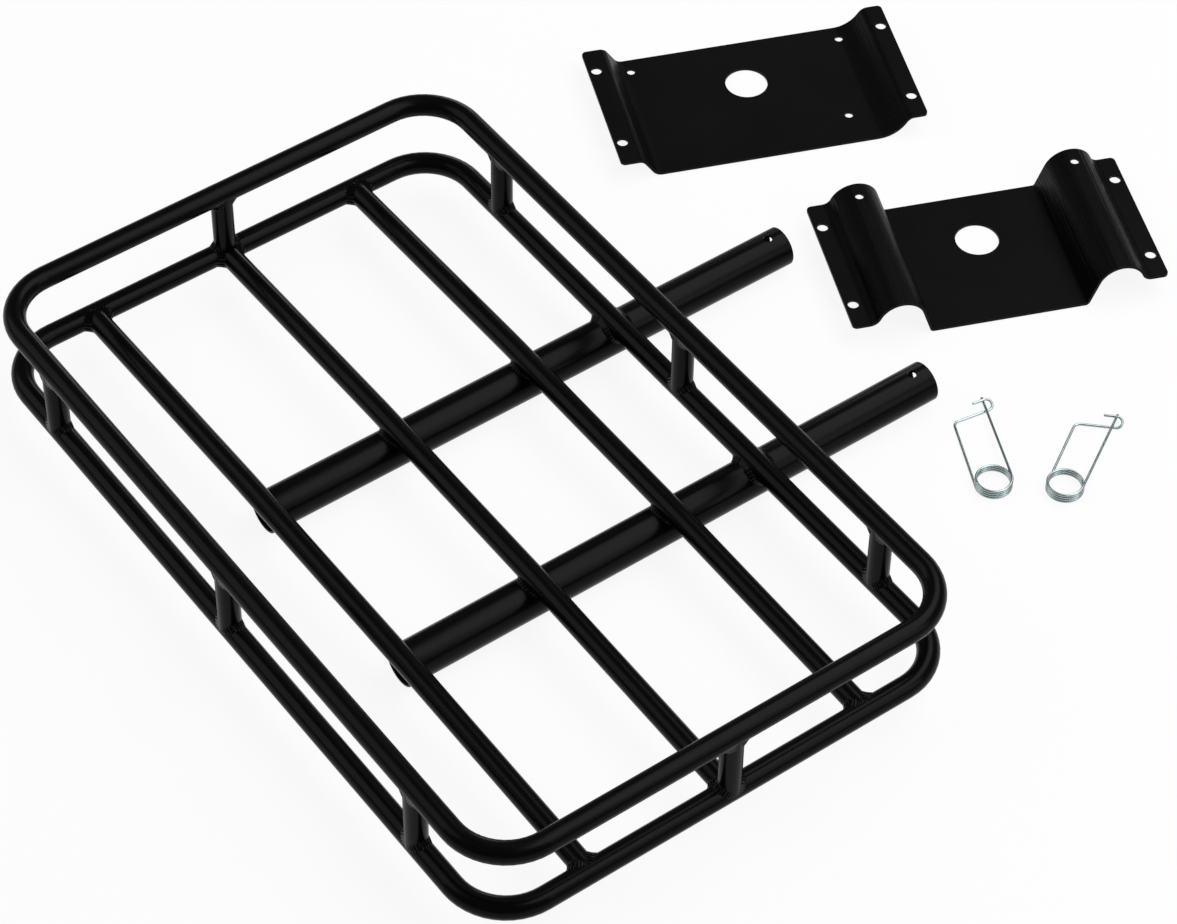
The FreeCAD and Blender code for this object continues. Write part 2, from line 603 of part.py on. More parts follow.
left_step = half_plate("left_step", step_fold("left_step_fold", "left"), True)
right_step = half_plate("right_step", step_fold("right_step_fold", "right"), False)
tie_drill = plate_drill(
    "tie_drill",
    "sizes.pin_diameter",
    "sizes.slide_spacing / 2 - sizes.tie_hole_inset",
    "sizes.tie_hole_edge - sizes.plate_width / 2",
)
pieces.append(add_plate("lower_clamp_plate", left_step, right_step, [tie_drill]))

clip_shape = clip_solid()
pieces += [add_clip(name, clip_shape) for name in ("spring_clip_left", "spring_clip_right")]

doc.recompute()
for item in doc.Objects:
    if "Invalid" in item.State or "Error" in item.State:
        raise RuntimeError("%s did not compute: %s" % (item.Name, item.State))
for piece in pieces:
    if piece.Shape.isNull() or not piece.Shape.isValid():
        raise RuntimeError("%s has no valid shape" % piece.Label)
    if len(piece.Shape.Solids) != 1:
        raise RuntimeError("%s is not one solid" % piece.Label)

os.makedirs("parts", exist_ok=True)
for piece in pieces:
    piece.Shape.exportStep("parts/%s.step" % piece.Label)
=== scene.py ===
"""Looks of a hitch cargo rack kit: powder-coated weldment, two clamp plates and two zinc wire clips."""

import math

import bmesh
import bpy
from bpy.props import FloatProperty, FloatVectorProperty
from mathutils import Matrix, Quaternion, Vector


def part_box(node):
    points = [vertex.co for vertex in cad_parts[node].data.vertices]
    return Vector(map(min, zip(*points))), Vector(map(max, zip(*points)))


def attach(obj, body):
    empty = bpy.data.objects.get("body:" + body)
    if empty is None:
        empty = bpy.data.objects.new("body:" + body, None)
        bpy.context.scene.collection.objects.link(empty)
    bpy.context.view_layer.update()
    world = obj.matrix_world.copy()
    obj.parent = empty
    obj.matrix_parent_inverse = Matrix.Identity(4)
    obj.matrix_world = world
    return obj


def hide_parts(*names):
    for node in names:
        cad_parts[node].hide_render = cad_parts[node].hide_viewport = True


bl_info = {
    "name": "Hitch cargo rack",
    "version": (1, 0, 0),
    "blender": (4, 5, 0),
    "location": "View3D > Sidebar > Rack",
    "description": "Finishes, weld beads, wire clips and studio for a hitch cargo rack kit",
    "category": "Object",
}

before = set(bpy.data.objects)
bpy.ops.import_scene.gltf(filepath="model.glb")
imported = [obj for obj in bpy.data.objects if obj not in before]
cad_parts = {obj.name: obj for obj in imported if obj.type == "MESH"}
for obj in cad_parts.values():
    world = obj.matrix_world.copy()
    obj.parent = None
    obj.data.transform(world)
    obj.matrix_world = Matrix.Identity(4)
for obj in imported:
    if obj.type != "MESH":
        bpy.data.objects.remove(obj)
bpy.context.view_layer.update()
MM = 0.001
X, Y, Z = Vector((1, 0, 0)), Vector((0, 1, 0)), Vector((0, 0, 1))

# The CAD's nodes
RAILS = ("lower_rail", "upper_rail")
FLOOR_BARS = ("floor_bar_outer", "floor_bar_middle", "floor_bar_inner")
LONG_POSTS = (
    "post_outer_left", "post_outer_middle", "post_outer_right",
    "post_inner_left", "post_inner_middle", "post_inner_right",
)
END_POSTS = ("post_end_left", "post_end_right")
SLIDE_TUBES = ("slide_tube_left", "slide_tube_right")
PLATES = ("upper_clamp_plate", "lower_clamp_plate")
CLIPS = ("spring_clip_left", "spring_clip_right")

# How the loose pieces lie on the floor: turns in degrees, and x, y and turn of each clip
PLATE_YAWS = (67.6, 67.9)
CLIP_PLACES = ((264.41 * MM, 172.84 * MM, 155.0), (308.41 * MM, 225.84 * MM, 121.0))

# Finishes
COAT_RANGE = (0.75, 1.45)
CLOUD_SHARE, SPECK_SHARE = 0.6, 0.4
COAT_SCATTER = 0.10
PEEL_HEIGHT, SPECK_HEIGHT = 0.00006, 0.00002
LEVEL_NORMAL, LEAN_SHARPNESS = 0.995, 60.0
TUBE_GRAIN, PLATE_GRAIN, BEAD_GRAIN = 0.35, 2.6, 0.6
TUBE_LINE_HEIGHT, PLATE_LINE_HEIGHT = 0.0001, 0.0012
LINE_SCALE, LINE_STRETCH = 380.0, 90.0
BEAD_GLOSS = 0.13
BORE_ROUGHNESS, BORE_SHINE = 0.85, 0.03

# Weld beads: sections, how far their toes sink in and how far a saddle wraps round its bar
BEAD_STEPS = 8
BEAD_SINK = 0.5 * MM
BEAD_ROOT = 0.25
LEG_RIPPLE, CROWN_RIPPLE = 0.03, 0.5
SEAM_POINTS = 144
SADDLE_LIMIT = math.radians(86)
END_GAP = 0.6 * MM

# Rounding of cut edges
WELD_DISTANCE = 0.02 * MM
FLAT_ANGLE = math.radians(0.4)
SHARP_ANGLE = math.radians(42)
EDGE_SEGMENTS = 3
LEVEL_WEIGHT = 60
BORE_DEPTH = 1.2 * MM

# Spring clips
COIL_TURNS = 3.5
COIL_STEPS = 40
COIL_GAP = 0.15 * MM
CLIP_LEAN = math.radians(15)
CORNER_RADIUS = 7 * MM
CORNER_X = 85.3 * MM
CROSS_SPARE = 3.5 * MM
HOOK_STEP = 10 * MM
HOOK_TAIL = 13 * MM
LEG_BEND = 25 * MM
LEG_REACH = 111 * MM
TIP_LENGTH = 0.4 * MM
WIRE_SIDES = 20

# Studio: name, place in metres, size in metres and watts of each soft box
LAMPS = (
    ("overhead_box", (0.6, 1.2, 2.65), (4.0, 2.0), 75.0),
    ("front_box", (-1.7, -1.95, 1.9), (2.4, 2.4), 28.0),
    ("right_box", (2.9, 1.5, 1.6), (1.4, 1.6), 14.0),
    ("corner_box", (-2.5, 2.1, 0.8), (0.7, 0.7), 7.0),
)
SENSOR_WIDTH = 36.0
CLIP_END = 100.0
FLOOR_HALF = 30.0
FLOOR_DROP = 0.2 * MM
WHITE = (1.0, 1.0, 1.0, 1.0)


def centre_of(node):
    low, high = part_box(node)
    return (low + high) / 2


def tube_radius():
    """Radius of the rail, floor bar and post tube."""
    low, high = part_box("lower_rail")
    return (high.z - low.z) / 2


# Shaders


class Value:
    """A number on its way through a material: arithmetic on it adds Math nodes."""

    def __init__(self, paint, socket):
        self.paint = paint
        self.socket = socket

    def __add__(self, other):
        return self.paint.maths("ADD", self, other)

    def __radd__(self, other):
        return self.paint.maths("ADD", other, self)

    def __sub__(self, other):
        return self.paint.maths("SUBTRACT", self, other)

    def __rsub__(self, other):
        return self.paint.maths("SUBTRACT", other, self)

    def __mul__(self, other):
        return self.paint.maths("MULTIPLY", self, other)

    def __rmul__(self, other):
        return self.paint.maths("MULTIPLY", other, self)

    def __abs__(self):
        return self.paint.maths("ABSOLUTE", self)

    def or_more(self, other):
        return self.paint.maths("MAXIMUM", self, other)

    def or_less(self, other):
        return self.paint.maths("MINIMUM", self, other)

    def clamped(self, low=0.0, high=1.0):
        return self.or_more(low).or_less(high)


class Paint:
    """A material under construction."""

    def __init__(self, name):
        self.material = bpy.data.materials.new(name)
        self.material.use_nodes = True
        self.tree = self.material.node_tree
        self.tree.nodes.clear()
        self.output = self.tree.nodes.new("ShaderNodeOutputMaterial")

    def node(self, kind, settings=None, inputs=None):
        """A node: its settings are set first, then the values or links of its sockets."""
        node = self.tree.nodes.new(kind)
        for name, value in (settings or {}).items():
            setattr(node, name, value)
        for socket, value in (inputs or {}).items():
            self.feed(node.inputs[socket], value)
        return node

    def feed(self, socket, value):
        if isinstance(value, Value):
            value = value.socket
        if isinstance(value, bpy.types.NodeSocket):
            self.tree.links.new(value, socket)
        else:
            socket.default_value = value

    def maths(self, operation, *values):
        node = self.node("ShaderNodeMath", {"operation": operation}, dict(enumerate(values)))
        return Value(self, node.outputs[0])

    def place(self):
        """Object coordinates, in metres."""
        return self.node("ShaderNodeTexCoord").outputs["Object"]

    def noise(self, scale, detail=2.0, roughness=0.5, place=None):
        inputs = {"Vector": place or self.place(), "Scale": scale, "Detail": detail, "Roughness": roughness}
        return Value(self, self.node("ShaderNodeTexNoise", {}, inputs).outputs["Fac"])

    def lines(self, yaw):
        """Noise drawn out into fine lines that run along Y turned by yaw."""
        turn = {"Vector": self.place(), "Rotation": (0.0, 0.0, yaw), "Scale": (1.0, LINE_STRETCH, 1.0)}
        drawn = self.node("ShaderNodeMapping", {"vector_type": "TEXTURE"}, turn).outputs[0]
        return self.noise(LINE_SCALE, 2.0, 0.6, drawn)

    def leaning(self):
        """0 where the surface faces straight up or down, 1 where it leans by some degrees or more."""
        normal = self.node("ShaderNodeTexCoord").outputs["Normal"]
        level = Value(self, self.node("ShaderNodeSeparateXYZ", {}, {"Vector": normal}).outputs["Z"])
        return ((LEVEL_NORMAL - abs(level)) * LEAN_SHARPNESS).clamped()

    def tint(self, factor, low, high):
        """A colour between two colours."""
        inputs = {0: factor, 6: tuple(low) + (1.0,), 7: tuple(high) + (1.0,)}
        return self.node("ShaderNodeMix", {"data_type": "RGBA"}, inputs).outputs[2]

    def bump(self, height, distance, strength, under=None):
        inputs = {"Height": height, "Distance": distance, "Strength": strength}
        if under:
            inputs["Normal"] = under
        return self.node("ShaderNodeBump", {}, inputs).outputs[0]

    def finish(self, inputs):
        shader = self.node("ShaderNodeBsdfPrincipled", {}, inputs)
        self.tree.links.new(shader.outputs[0], self.output.inputs[0])
        return self.material


def powder_coat(name, settings, gloss, grain, drawn=None):
    """Black powder coat: fine orange peel under a soft gloss. Drawn is the yaw and height of its lines and
    whether they show on the bends only."""
    paint = Paint(name)
    cloud = paint.noise(14.0, 3.0)
    speck = paint.noise(900.0, 2.0, 0.6)
    peel = paint.noise(settings.peel_scale, 2.0, 0.55)
    dark, light = (tuple(share * c for c in settings.coat_colour) for share in COAT_RANGE)
    colour = paint.tint((CLOUD_SHARE * cloud + SPECK_SHARE * speck).clamped(), dark, light)
    roughness = (gloss + COAT_SCATTER * (cloud - 0.5) + COAT_SCATTER * (speck - 0.5)).clamped(0.08, 0.9)
    fine = paint.bump(speck, SPECK_HEIGHT, 0.25 * grain)
    normal = paint.bump(peel, PEEL_HEIGHT, 0.25 * grain, fine)
    if drawn:
        yaw, height, bends_only = drawn
        lines = paint.lines(yaw)
        normal = paint.bump(lines * paint.leaning() if bends_only else lines, height, 0.8, normal)
    return paint.finish({
        "Base Color": colour, "Roughness": roughness, "Normal": normal,
        "Specular IOR Level": settings.coat_shine,
    })


def dull_bore(name, settings):
    """The inside of a tube, where the powder lies thin and dull."""
    paint = Paint(name)
    cloud = paint.noise(60.0, 3.0)
    speck = paint.noise(700.0, 2.0, 0.6)
    dusty = tuple(3.0 * c for c in settings.coat_colour)
    return paint.finish({
        "Base Color": paint.tint(cloud, settings.coat_colour, dusty),
        "Roughness": (BORE_ROUGHNESS + 0.1 * (speck - 0.5)).clamped(),
        "Normal": paint.bump(speck, 0.00005, 0.3),
        "Specular IOR Level": BORE_SHINE,
    })


def zinc_wire(name, settings):
    """Bright zinc on drawn spring wire: cool grey metal with fine mottling."""
    paint = Paint(name)
    cloud = paint.noise(160.0, 3.0)
    speck = paint.noise(2400.0, 2.0, 0.6)
    dark = tuple(0.78 * c for c in settings.zinc_colour)
    return paint.finish({
        "Base Color": paint.tint((0.7 * cloud + 0.3 * speck).clamped(), dark, settings.zinc_colour),
        "Metallic": 1.0,
        "Roughness": (0.24 + 0.16 * (cloud - 0.5) + 0.06 * (speck - 0.5)).clamped(0.12, 0.6),
        "Normal": paint.bump(speck, 0.00001, 0.15),
    })


# Geometry


def new_piece(name, mesh, material):
    """A smooth piece of the rack in the scene, with its material, body and slot."""
    piece = bpy.data.objects.new(name, mesh)
    bpy.context.scene.collection.objects.link(piece)
    mesh.materials.append(material)
    mesh.polygons.foreach_set("use_smooth", [True] * len(mesh.polygons))
    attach(piece, "root")
    return piece


def ring_mesh(name, runs):
    """Closed sections joined into tubes; a run is (sections, closed) and open runs get end caps."""
    build = bmesh.new()
    for sections, closed in runs:
        rings = [[build.verts.new(point) for point in section] for section in sections]
        count = len(rings[0])
        spans = len(rings) if closed else len(rings) - 1
        for here in range(spans):
            near, far = rings[here], rings[(here + 1) % len(rings)]
            for corner in range(count):
                after = (corner + 1) % count
                build.faces.new((near[corner], near[after], far[after], far[corner]))
        if not closed:
            build.faces.new(list(reversed(rings[0])))
            build.faces.new(rings[-1])
    bmesh.ops.recalc_face_normals(build, faces=build.faces)
    mesh = bpy.data.meshes.new(name)
    build.to_mesh(mesh)
    build.free()
    return mesh


class Round:
    """A tube's outside: a point on its axis, the axis and the radius."""

    def __init__(self, origin, axis, radius):
        self.origin = origin
        self.axis = axis
        self.radius = radius

    def arm(self, point):
        """From the axis straight out to the point."""
        arm = point - self.origin
        return arm - self.axis * arm.dot(self.axis)

    def normal(self, point):
        return self.arm(point).normalized()

    def sunk(self, point):
        """The point brought to just under the surface."""
        arm = self.arm(point)
        return point + arm.normalized() * (self.radius - BEAD_SINK - arm.length)


def bead_sections(seam, closed, first, second, settings, leg_size, flush_crown=0.0):
    """Fillet sections along a seam of points between two round surfaces. The crown fades where the surfaces
    run flush, down to flush_crown of its height."""
    sections = []
    count = len(seam)
    travelled = 0.0
    for here, point in enumerate(seam):
        before = seam[here - 1] if here or closed else point
        after = seam[(here + 1) % count] if here + 1 < count or closed else point
        along = (after - before).normalized()
        travelled += (point - seam[here - 1]).length if here else 0.0
        up_first, up_second = first.normal(point), second.normal(point)
        one = up_first.cross(along).normalized()
        one = one if one.dot(up_second) > 0 else -one
        two = up_second.cross(along).normalized()
        two = two if two.dot(up_first) > 0 else -two
        outward = (up_first + up_second).normalized()
        ripple = math.cos(2 * math.pi * travelled / settings.bead_ripple)
        leg = leg_size * (1 + LEG_RIPPLE * ripple)
        corner = up_first.cross(up_second).length
        crown = settings.bead_crown * (1 + CROWN_RIPPLE * ripple) * max(corner, flush_crown)
        toe_one = first.sunk(point + one * leg)
        toe_two = second.sunk(point + two * leg)
        section = [point - outward * leg * BEAD_ROOT]
        for step in range(BEAD_STEPS + 1):
            share = step / BEAD_STEPS
            hollow = point * (2 * share * (1 - share)) + toe_one * (1 - share) ** 2 + toe_two * share ** 2
            section.append(hollow + outward * crown * math.sin(math.pi * share))
        sections.append(section)
    return sections


def crossing_bead(centre, through, stem, side, radius, settings, leg_size, flush_crown=0.0):
    """Bead of a tube butted to the flank of another of the same size, fish-mouthed round it."""
    across = through.cross(stem)
    inner = radius - BEAD_SINK
    seam = []
    for step in range(SEAM_POINTS):
        angle = 2 * math.pi * step / SEAM_POINTS
        u, v = inner * math.cos(angle), inner * math.sin(angle)
        height = math.sqrt(radius * radius - v * v)
        seam.append(centre + through * u + across * v + stem * (side * height))
    flank, wall = Round(centre, through, radius), Round(centre, stem, radius)
    return bead_sections(seam, True, flank, wall, settings, leg_size, flush_crown), True


def saddle_bead(tube, bar, settings, start_y=None):
    """Bead of a bar along X that lies in the top of a tube along Y; only what lies past start_y is kept."""
    rise = bar.origin.z - tube.origin.z
    limit = math.acos(max(min((rise - tube.radius) / bar.radius, 1.0), -1.0))
    limit = min(limit, SADDLE_LIMIT)
    seam = []
    for step in range(SEAM_POINTS):
        turn = 2 * math.pi * step / SEAM_POINTS
        swing = limit * math.sin(turn)
        y = bar.origin.y + bar.radius * math.sin(swing)
        z = bar.origin.z - bar.radius * math.cos(swing)
        x = math.sqrt(max(tube.radius ** 2 - (z - tube.origin.z) ** 2, 0.0))
        x = x if math.cos(turn) >= 0 else -x
        seam.append(Vector((tube.origin.x + x, y, z)))
    if start_y is None:
        return bead_sections(seam, True, tube, bar, settings, settings.saddle_leg), True
    # What is kept runs on from the last point of the seam to its first
    split = next((i for i in range(1, len(seam)) if seam[i].y > start_y and seam[i - 1].y <= start_y), 0)
    kept = [point for point in seam[split:] + seam[:split] if point.y > start_y]
    return bead_sections(kept, False, tube, bar, settings, settings.saddle_leg), False


def wire_sections(path, radius):
    """Round sections carried along a path without twist."""
    sections = []
    side = (path[1] - path[0]).cross(Z).normalized()
    for here, point in enumerate(path):
        before = path[max(here - 1, 0)]
        after = path[min(here + 1, len(path) - 1)]
        along = (after - before).normalized()
        side = (side - along * side.dot(along)).normalized()
        up = along.cross(side)
        turns = (2 * math.pi * k / WIRE_SIDES for k in range(WIRE_SIDES))
        sections.append([point + (side * math.cos(a) + up * math.sin(a)) * radius for a in turns])
    return sections


def soft_edged(node, material, width):
    """A copy of a CAD node with its sharp edges rounded as thick paint rounds them; it stands for the node."""
    build = bmesh.new()
    build.from_mesh(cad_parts[node].data)
    bmesh.ops.remove_doubles(build, verts=build.verts, dist=WELD_DISTANCE)
    bmesh.ops.dissolve_limit(build, angle_limit=FLAT_ANGLE, verts=build.verts, edges=build.edges)
    sharp = [
        edge for edge in build.edges
        if len(edge.link_faces) == 2 and edge.calc_face_angle() > SHARP_ANGLE
    ]
    bmesh.ops.bevel(
        build, geom=sharp, offset=width, offset_type="OFFSET", segments=EDGE_SEGMENTS, profile=0.5,
        affect="EDGES", clamp_overlap=True,
    )
    bmesh.ops.triangulate(build, faces=[face for face in build.faces if len(face.verts) > 4])
    mesh = bpy.data.meshes.new(node + "_coated")
    build.to_mesh(mesh)
    build.free()
    piece = new_piece(node + "_coated", mesh, material)
    piece.modifiers.new("level_normals", "WEIGHTED_NORMAL").weight = LEVEL_WEIGHT
    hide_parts(node)
    return piece


def cover(node, material):
    """Gives a CAD node one material."""
    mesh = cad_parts[node].data
    if not mesh.materials:
        mesh.materials.append(material)
    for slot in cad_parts[node].material_slots:
        slot.material = material


def arc_round(centre, start, turn_axis, angle, steps):
    """Points from start round a centre, the start itself left out."""
    arm = start - centre
    return [centre + Matrix.Rotation(angle * k / steps, 3, turn_axis) @ arm for k in range(1, steps + 1)]


def clip_path(settings):
    """Centre line of a clip: straight leg, coil, hooked leg, cross wire and hook."""
    wire, coil = settings.wire_radius, settings.coil_radius
    pitch = 2 * wire + COIL_GAP
    cross = Vector((math.sin(CLIP_LEAN), -math.cos(CLIP_LEAN), 0))
    onward = Vector((math.cos(CLIP_LEAN), math.sin(CLIP_LEAN), 0))
    corner = Vector((CORNER_X, coil, wire))
    tangent = CORNER_RADIUS * math.tan((math.pi / 2 - CLIP_LEAN) / 2)
    corner_in = corner - X * tangent
    corner_centre = corner_in - Y * CORNER_RADIUS
    hook_in = corner + cross * ((2 * coil + CROSS_SPARE) / math.cos(CLIP_LEAN))
    hook_span = onward * HOOK_STEP + Z * (2 * pitch)
    hook_centre = hook_in + hook_span / 2
    hook_out = hook_in + hook_span
    top = Vector((0, -coil, wire + pitch * COIL_TURNS))
    # The straight leg bends down off the coil's top, so that it passes at the height of the hook's middle
    rise = LEG_BEND - (top.z - hook_centre.z)
    slope = math.asin(LEG_BEND / math.hypot(hook_centre.x, rise)) - math.atan2(rise, hook_centre.x)
    below = top - Z * LEG_BEND
    bend_end = below + (X * math.sin(slope) + Z * math.cos(slope)) * LEG_BEND
    downhill = X * math.cos(slope) - Z * math.sin(slope)
    nose = bend_end + downhill * ((LEG_REACH - bend_end.x) / downhill.x)
    path = [nose, nose - downhill * TIP_LENGTH, bend_end.lerp(nose, 0.5), bend_end]
    path += arc_round(below, bend_end, Y, -slope, 4)
    steps = int(COIL_TURNS * COIL_STEPS)
    for k in range(1, steps + 1):
        angle = 2 * math.pi * COIL_TURNS * k / steps
        drop = pitch * COIL_TURNS * k / steps
        path.append(Vector((-coil * math.sin(angle), -coil * math.cos(angle), top.z - drop)))
    path += [corner_in.lerp(path[-1], 0.5), corner_in]
    path += arc_round(corner_centre, corner_in, -Z, math.pi / 2 - CLIP_LEAN, 8)
    path += [path[-1].lerp(hook_in, 0.5), hook_in]
    path += arc_round(hook_centre, hook_in, hook_span.cross(cross).normalized() * -1, math.pi, 14)
    tail = hook_out - cross * HOOK_TAIL
    path += [hook_out.lerp(tail, 0.5), tail + cross * TIP_LENGTH, tail]
    return path


# Studio


def build_camera(scene, studio):
    """The camera at the photograph's angle."""
    camera = bpy.data.cameras.new("camera")
    camera.lens = studio.camera_lens
    camera.sensor_width = SENSOR_WIDTH
    camera.shift_x, camera.shift_y = studio.camera_shift
    camera.clip_end = CLIP_END
    holder = bpy.data.objects.new("camera", camera)
    scene.collection.objects.link(holder)
    place, aim = Vector(studio.camera_place), Vector(studio.camera_aim)
    look = (aim - place).to_track_quat("-Z", "Y")
    holder.rotation_mode = "QUATERNION"
    holder.rotation_quaternion = look @ Quaternion((0, 0, 1), studio.camera_roll)
    holder.location = place
    scene.camera = holder


def build_lamps(scene):
    """Soft boxes that face the middle of the floor."""
    for name, place, size, power in LAMPS:
        lamp = bpy.data.lights.new(name, "AREA")
        lamp.shape = "RECTANGLE"
        lamp.size, lamp.size_y = size
        lamp.energy = power
        box = bpy.data.objects.new(name, lamp)
        box.location = place
        box.rotation_mode = "QUATERNION"
        box.rotation_quaternion = (-Vector(place)).to_track_quat("-Z", "Y")
        scene.collection.objects.link(box)


def build_world(scene, studio):
    """A plain soft grey all round."""
    world = bpy.data.worlds.new("studio")
    world.use_nodes = True
    sky = world.node_tree.nodes["Background"]
    sky.inputs["Color"].default_value = WHITE
    sky.inputs["Strength"].default_value = studio.world_light
    scene.world = world


def build_floor(scene, studio):
    """A wide pale floor that shows white and keeps a soft shadow."""
    paint = Paint("floor")
    path = paint.node("ShaderNodeLightPath")
    camera, glossy, through = (
        Value(paint, path.outputs[ray]) for ray in ("Is Camera Ray", "Is Glossy Ray", "Is Transmission Ray")
    )
    seen = camera.or_more(glossy.or_more(through))
    lit = paint.node("ShaderNodeBsdfDiffuse", {}, {"Color": tuple(studio.floor_colour) + (1.0,)})
    glow = paint.node("ShaderNodeEmission", {}, {"Color": WHITE, "Strength": 1.0})
    share = seen * studio.floor_glow
    mix = paint.node("ShaderNodeMixShader", {}, {0: share, 1: lit.outputs[0], 2: glow.outputs[0]})
    paint.tree.links.new(mix.outputs[0], paint.output.inputs[0])
    mesh = bpy.data.meshes.new("floor")
    corners = [(x * FLOOR_HALF, y * FLOOR_HALF, -FLOOR_DROP) for x, y in ((-1, -1), (1, -1), (1, 1), (-1, 1))]
    mesh.from_pydata(corners, [], [(0, 1, 2, 3)])
    mesh.materials.append(paint.material)
    floor = bpy.data.objects.new("floor", mesh)
    scene.collection.objects.link(floor)


# Settings


class RackSettings(bpy.types.PropertyGroup):
    """Sizes and colours of the rack's finishes."""

    coat_colour: FloatVectorProperty(
        name="Coat colour", description="Black of the powder coat", subtype="COLOR", size=3,
        default=(0.0016, 0.0015, 0.0015), min=0.0, max=1.0,
    )
    coat_shine: FloatProperty(
        name="Coat shine", description="Strength of the coat's reflections", default=0.07,
        min=0.0, max=1.0, subtype="FACTOR",
    )
    tube_gloss: FloatProperty(
        name="Tube roughness", description="Roughness of the coat on the tubes", default=0.25,
        min=0.05, max=1.0, subtype="FACTOR",
    )
    plate_gloss: FloatProperty(
        name="Plate roughness", description="Roughness of the coat on the plates", default=0.34,
        min=0.05, max=1.0, subtype="FACTOR",
    )
    peel_scale: FloatProperty(
        name="Orange peel", description="Waves of the orange peel in a metre", default=420.0, min=50.0,
    )
    zinc_colour: FloatVectorProperty(
        name="Zinc colour", description="Colour of the plated wire", subtype="COLOR", size=3,
        default=(0.42, 0.50, 0.51), min=0.0, max=1.0,
    )
    post_leg: FloatProperty(
        name="Post bead", description="How far the weld of a post runs up each tube", default=0.0065,
        min=0.001, unit="LENGTH",
    )
    bar_leg: FloatProperty(
        name="Floor bar bead", description="How far the weld of a floor bar runs up each tube",
        default=0.0085, min=0.001, unit="LENGTH",
    )
    saddle_leg: FloatProperty(
        name="Saddle bead", description="How far the weld of a slide tube runs up each tube",
        default=0.0075, min=0.001, unit="LENGTH",
    )
    bead_crown: FloatProperty(
        name="Bead crown", description="How far a weld bead stands proud", default=0.00095,
        min=0.0, unit="LENGTH",
    )
    bead_ripple: FloatProperty(
        name="Bead ripple", description="Distance between the ripples of a bead", default=0.0026,
        min=0.0005, unit="LENGTH",
    )
    edge_round: FloatProperty(
        name="Edge rounding", description="How far the coat rounds a cut edge", default=0.0005,
        min=0.0, unit="LENGTH",
    )
    wire_radius: FloatProperty(
        name="Wire radius", description="Radius of the clips' wire", default=0.00135,
        min=0.0002, unit="LENGTH",
    )
    coil_radius: FloatProperty(
        name="Coil radius", description="Radius of the clips' coil, on the wire's centre line",
        default=0.0175, min=0.001, unit="LENGTH",
    )


class StudioSettings(bpy.types.PropertyGroup):
    """Camera, lamps and floor."""

    camera_place: FloatVectorProperty(
        name="Camera", description="Where the camera stands", subtype="TRANSLATION", unit="LENGTH",
        size=3, default=(2.07956, -1.66748, 2.86333),
    )
    camera_aim: FloatVectorProperty(
        name="Aim", description="The point that the camera looks at", subtype="TRANSLATION",
        unit="LENGTH", size=3, default=(0.06464, -0.15305, 0.060),
    )
    camera_roll: FloatProperty(
        name="Roll", description="Tilt of the camera about its own line of sight",
        default=math.radians(1.106), subtype="ANGLE", unit="ROTATION",
    )
    camera_lens: FloatProperty(
        name="Lens", description="Focal length for a sensor 36 mm wide, in millimetres",
        default=121.5, min=1.0,
    )
    camera_shift: FloatVectorProperty(
        name="Shift", description="Lens shift across and up", size=2, default=(-0.00952, 0.00187),
    )
    floor_colour: FloatVectorProperty(
        name="Floor", description="Colour of the floor", subtype="COLOR", size=3,
        default=(0.92, 0.92, 0.92), min=0.0, max=1.0,
    )
    world_light: FloatProperty(
        name="World light", description="Strength of the grey all round", default=0.20, min=0.0,
    )
    floor_glow: FloatProperty(
        name="Floor glow", description="Share of the floor that is seen as plain white", default=0.90,
        min=0.0, max=1.0, subtype="FACTOR",
    )


# Operators


class RACK_OT_coat_tubes(bpy.types.Operator):
    """Powder coat on the rails, floor bars, posts and slide tubes"""

    bl_idname = "rack.coat_tubes"
    bl_label = "Coat the tubes"

    def execute(self, context):
        settings = context.scene.rack
        gloss = settings.tube_gloss
        coat = powder_coat("tube_powder_coat", settings, gloss, TUBE_GRAIN)
        for node in RAILS + FLOOR_BARS + LONG_POSTS + END_POSTS:
            cover(node, coat)
        drawn = (0.0, TUBE_LINE_HEIGHT, False)
        coat = powder_coat("slide_tube_powder_coat", settings, gloss, TUBE_GRAIN, drawn)
        bare = dull_bore("slide_tube_bore", settings)
        for node in SLIDE_TUBES:
            tube = soft_edged(node, coat, settings.edge_round).data
            tube.materials.append(bare)
            low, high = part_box(node)
            half = (high.x - low.x) / 2
            for face in tube.polygons:
                off_axis = math.hypot(face.center.x - low.x - half, face.center.z - low.z - half)
                if off_axis < half - BORE_DEPTH and abs(face.normal.y) < 0.5:
                    face.material_index = 1
        return {"FINISHED"}


class RACK_OT_coat_plates(bpy.types.Operator):
    """Powder coat on the two clamp plates"""

    bl_idname = "rack.coat_plates"
    bl_label = "Coat the plates"

    def execute(self, context):
        settings = context.scene.rack
        for node, yaw in zip(PLATES, PLATE_YAWS):
            drawn = (math.radians(yaw), PLATE_LINE_HEIGHT, True)
            coat = powder_coat(node + "_coat", settings, settings.plate_gloss, PLATE_GRAIN, drawn)
            soft_edged(node, coat, settings.edge_round)
        return {"FINISHED"}


class RACK_OT_weld_posts(bpy.types.Operator):
    """Weld beads round both ends of every post"""

    bl_idname = "rack.weld_posts"
    bl_label = "Weld the posts"

    def execute(self, context):
        settings = context.scene.rack
        low_rail, high_rail = (centre_of(rail).z for rail in RAILS)
        radius = tube_radius()
        runs = []
        for nodes, along in ((LONG_POSTS, X), (END_POSTS, Y)):
            for node in nodes:
                middle = centre_of(node)
                for height, side in ((low_rail, 1), (high_rail, -1)):
                    foot = Vector((middle.x, middle.y, height))
                    runs.append(crossing_bead(foot, along, Z, side, radius, settings, settings.post_leg))
        coat = powder_coat("post_weld_coat", settings, BEAD_GLOSS, BEAD_GRAIN)
        new_piece("post_welds", ring_mesh("post_welds", runs), coat)
        return {"FINISHED"}


